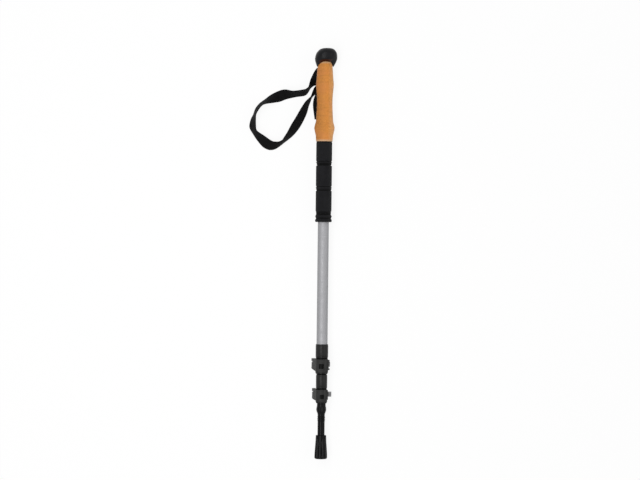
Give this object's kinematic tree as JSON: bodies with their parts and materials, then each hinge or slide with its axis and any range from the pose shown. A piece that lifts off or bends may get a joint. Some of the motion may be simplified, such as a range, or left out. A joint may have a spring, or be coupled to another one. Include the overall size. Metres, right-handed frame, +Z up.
{
  "type": "telescopic trekking pole",
  "caption": "Collapsed telescopic trekking pole with lever locks, a cork and foam grip, a domed head, a rubber tip cap and a webbing wrist loop, lying on its side.",
  "frame": {"origin": "middle of the rubber tip's flat sole, on the axis of the tubes", "axes": "+X up the pole towards the head, +Y to the side the wrist loop is spread on, +Z up from the surface the pole lies on, which is at z = -18.15 mm"},
  "size_m": [0.6712, 0.1416, 0.0372],
  "materials": {
    "tip_rubber": "smooth moulded rubber",
    "ferrule_plastic": "glossy moulded plastic",
    "tip_carbide": "ground carbide",
    "inner_tube_metal": "dark anodised",
    "inner_plastic": "matt moulded plastic",
    "silver_tube_metal": "satin anodised",
    "sleeve_plastic": "satin moulded plastic",
    "lock_plastic": "satin moulded plastic",
    "small_steel": "plated",
    "nut_metal": "bright turned",
    "grip_foam": "closed-cell foam",
    "grip_cork": "sanded cork",
    "head_rubber": "satin moulded rubber",
    "strap_webbing": "woven webbing"
  },
  "bodies": {
    "handle": {"upper_tube": "silver_tube_metal", "foam_end_ring": "grip_foam", "foam_grip": "grip_foam", "cork_grip": "grip_cork", "head_cap": "head_rubber", "strap_pin": "small_steel", "strap_wedge": "inner_plastic", "strap_tail": "strap_webbing", "upper_lock_sleeve": "sleeve_plastic", "upper_clamp_collar": "lock_plastic", "upper_tension_bolt": "small_steel", "upper_cam_pin": "small_steel", "upper_cam_saddle": "small_steel"},
    "upper_lever": {"upper_lock_lever": "lock_plastic"},
    "upper_nut": {"upper_thumb_nut": "nut_metal"},
    "middle_section": {"middle_tube": "inner_tube_metal", "middle_tube_plug": "inner_plastic", "lower_lock_sleeve": "sleeve_plastic", "lower_clamp_collar": "lock_plastic", "lower_tension_bolt": "small_steel", "lower_cam_pin": "small_steel", "lower_cam_saddle": "small_steel"},
    "lower_lever": {"lower_lock_lever": "lock_plastic"},
    "lower_nut": {"lower_thumb_nut": "nut_metal"},
    "lower_section": {"lower_tube": "inner_tube_metal", "lower_tube_plug": "inner_plastic", "tip_ferrule": "ferrule_plastic", "carbide_tip": "tip_carbide"},
    "rubber_tip": {"tip_protector": "tip_rubber"},
    "strap_loop": {"wrist_strap": "strap_webbing"}
  },
  "joints": [
    {"name": "middle_slide", "type": "slide", "parent": "handle", "child": "middle_section", "axis": [-1, 0, 0], "range_m": [0, 0.35]},
    {"name": "lower_slide", "type": "slide", "parent": "middle_section", "child": "lower_section", "axis": [-1, 0, 0], "range_m": [0, 0.35]},
    {"name": "upper_lever_hinge", "type": "hinge", "parent": "handle", "child": "upper_lever", "pos_m": [0.15393, 0.01315, -0.01302], "axis": [-1, 0, 0], "range_deg": [0, 100]},
    {"name": "lower_lever_hinge", "type": "hinge", "parent": "middle_section", "child": "lower_lever", "pos_m": [0.10495, 0.01175, -0.01202], "axis": [-1, 0, 0], "range_deg": [0, 100]},
    {"name": "upper_nut_turn", "type": "hinge", "parent": "handle", "child": "upper_nut", "pos_m": [0.15393, -0.0097, -0.01302], "axis": [0, -1, 0], "continuous": true},
    {"name": "lower_nut_turn", "type": "hinge", "parent": "middle_section", "child": "lower_nut", "pos_m": [0.10495, -0.0093, -0.01202], "axis": [0, -1, 0], "continuous": true},
    {"name": "rubber_tip_pull", "type": "slide", "parent": "lower_section", "child": "rubber_tip", "axis": [-1, 0, 0], "range_m": [0, 0.06]},
    {"name": "strap_swing", "type": "hinge", "parent": "handle", "child": "strap_loop", "pos_m": [0.6365, 0, -0.0156], "axis": [0, 0, -1], "range_deg": [-3, 30]}
  ]
}
